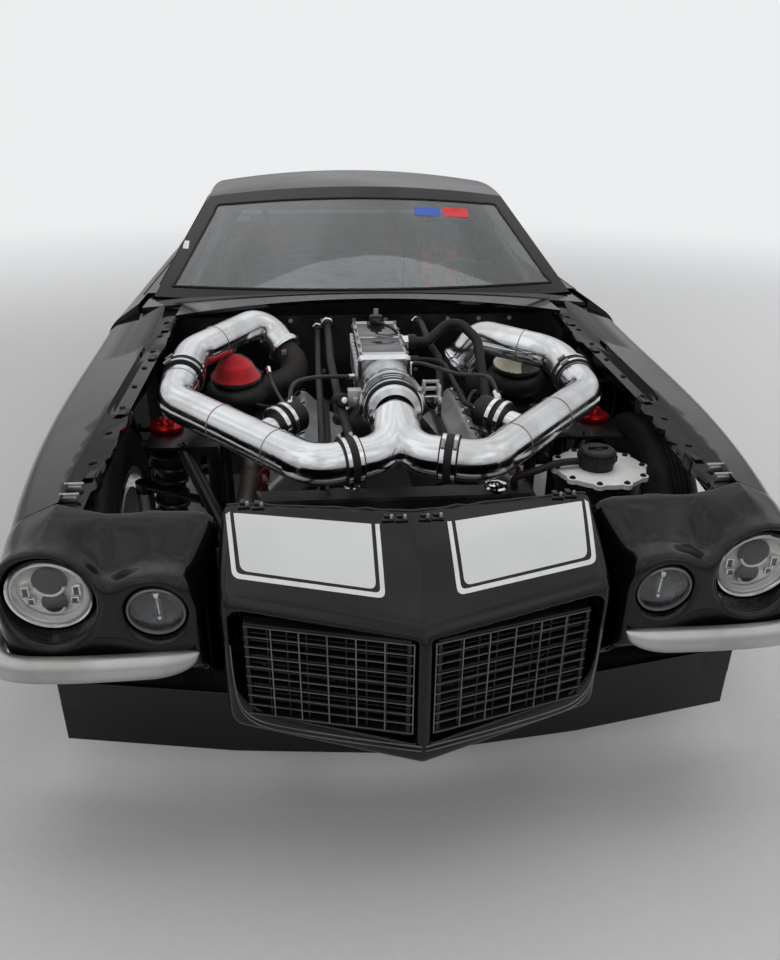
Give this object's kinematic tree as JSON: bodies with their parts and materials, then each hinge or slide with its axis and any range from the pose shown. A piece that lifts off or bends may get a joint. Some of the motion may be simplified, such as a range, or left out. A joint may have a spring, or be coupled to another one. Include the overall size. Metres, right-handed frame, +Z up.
{
  "type": "drag racing car",
  "caption": "Black two-door drag racing coupe with an open engine bay, twin turbochargers, polished charge pipes, split bumper nose, steering front wheels, opening doors and deck lid.",
  "frame": {"origin": "ground level under the middle of the car's box", "axes": "+Y towards the tail, so the nose points to -Y, +X the car's left side, +Z up"},
  "size_m": [1.89, 4.7683, 1.215],
  "materials": {
    "body_paint": "gloss black paint",
    "chassis_paint": "satin black paint",
    "window_glass": "clear glass with a light tint",
    "grille_metal": "black with bright edges",
    "satin_silver": "satin silver paint",
    "lamp_glass": "clear lens over a bright reflector",
    "red_lens": "red lens",
    "polished_aluminium": "polished",
    "cast_aluminium": "as cast",
    "bare_steel": "brushed",
    "cast_iron_dark": "dark cast iron",
    "tyre_rubber": "black rubber",
    "hose_rubber": "black rubber",
    "black_plastic": "matte black",
    "white_plastic": "white",
    "cap_fabric": "padded cover in coloured panels",
    "seat_fabric": "black cloth"
  },
  "bodies": {
    "car": {"front_fender_left": "body_paint", "front_fender_right": "body_paint", "quarter_panel_left": "body_paint", "quarter_panel_right": "body_paint", "cowl_panel": "body_paint", "firewall": "chassis_paint", "roof_shell": "body_paint", "windshield": "window_glass", "rear_window": "window_glass", "nose_panel": "body_paint", "grille": "grille_metal", "air_dam": "body_paint", "bumperettes": "satin_silver", "headlamps": "lamp_glass", "rocker_panels": "body_paint", "parking_lamps": "lamp_glass", "rear_deck": "body_paint", "tail_panel": "body_paint", "tail_lamps": "red_lens", "rear_bumper": "satin_silver", "front_suspension": "bare_steel", "steering_rack": "cast_aluminium", "rear_axle": "chassis_paint", "driveline": "cast_aluminium", "chassis_frame": "chassis_paint", "roll_cage": "chassis_paint", "floor_pan": "chassis_paint", "engine_block": "cast_aluminium", "valve_covers": "black_plastic", "intake_manifold": "polished_aluminium", "throttle_body": "polished_aluminium", "charge_pipes": "polished_aluminium", "pipe_couplings": "hose_rubber", "blowoff_valves": "black_plastic", "engine_hoses": "hose_rubber", "exhaust_headers": "cast_iron_dark", "turbochargers": "cast_iron_dark", "turbo_caps": "cap_fabric", "radiator": "black_plastic", "coolant_tank": "white_plastic", "seat": "seat_fabric", "dash": "black_plastic"},
    "door_left": {"door_left": "body_paint", "door_glass_left": "window_glass"},
    "door_right": {"door_right": "body_paint", "door_glass_right": "window_glass"},
    "deck_lid": {"deck_lid": "body_paint"},
    "knuckle_left": {"knuckle_left": "bare_steel"},
    "knuckle_right": {"knuckle_right": "bare_steel"},
    "wheel_front_left": {"rim_front_left": "polished_aluminium", "tyre_front_left": "tyre_rubber"},
    "wheel_front_right": {"rim_front_right": "polished_aluminium", "tyre_front_right": "tyre_rubber"},
    "wheel_rear_left": {"rim_rear_left": "polished_aluminium", "tyre_rear_left": "tyre_rubber"},
    "wheel_rear_right": {"rim_rear_right": "polished_aluminium", "tyre_rear_right": "tyre_rubber"},
    "tie_rods": {"tie_rods": "bare_steel"},
    "steering_wheel": {"steering_wheel": "black_plastic"}
  },
  "joints": [
    {"name": "door_left_hinge", "type": "hinge", "parent": "car", "child": "door_left", "pos_m": [0.919, -0.8315, 0.5], "axis": [0, 0, -1], "range_deg": [0, 62]},
    {"name": "door_right_hinge", "type": "hinge", "parent": "car", "child": "door_right", "pos_m": [-0.919, -0.8315, 0.5], "axis": [0, 0, 1], "range_deg": [0, 62]},
    {"name": "deck_lid_hinge", "type": "hinge", "parent": "car", "child": "deck_lid", "pos_m": [0, 1.5675, 0.906], "axis": [1, 0, 0], "range_deg": [0, 50]},
    {"name": "steer_left", "type": "hinge", "parent": "car", "child": "knuckle_left", "pos_m": [0.7, -1.4295, 0.33], "axis": [0, 0, 1], "range_deg": [-25, 25]},
    {"name": "steer_right", "type": "hinge", "parent": "car", "child": "knuckle_right", "pos_m": [-0.7, -1.4295, 0.33], "axis": [0, 0, 1], "range_deg": [-25, 25]},
    {"name": "tie_rod_slide", "type": "slide", "parent": "car", "child": "tie_rods", "axis": [1, 0, 0], "range_m": [-0.052, 0.052]},
    {"name": "steering_wheel_turn", "type": "hinge", "parent": "car", "child": "steering_wheel", "pos_m": [0.4, -0.2575, 0.77], "axis": [0, 0.9397, 0.342], "range_deg": [-300, 300]},
    {"name": "spin_front_left", "type": "hinge", "parent": "knuckle_left", "child": "wheel_front_left", "pos_m": [0.8, -1.4295, 0.33], "axis": [1, 0, 0], "continuous": true},
    {"name": "spin_front_right", "type": "hinge", "parent": "knuckle_right", "child": "wheel_front_right", "pos_m": [-0.8, -1.4295, 0.33], "axis": [1, 0, 0], "continuous": true},
    {"name": "spin_rear_left", "type": "hinge", "parent": "car", "child": "wheel_rear_left", "pos_m": [0.762, 1.3135, 0.37], "axis": [1, 0, 0], "continuous": true},
    {"name": "spin_rear_right", "type": "hinge", "parent": "car", "child": "wheel_rear_right", "pos_m": [-0.762, 1.3135, 0.37], "axis": [1, 0, 0], "continuous": true}
  ],
  "couplings": [
    {"joint": "steer_right", "follows": "steer_left", "ratio": 1},
    {"joint": "tie_rod_slide", "follows": "steer_left", "m_per_rad": 0.1162},
    {"joint": "steering_wheel_turn", "follows": "steer_left", "ratio": 12}
  ]
}
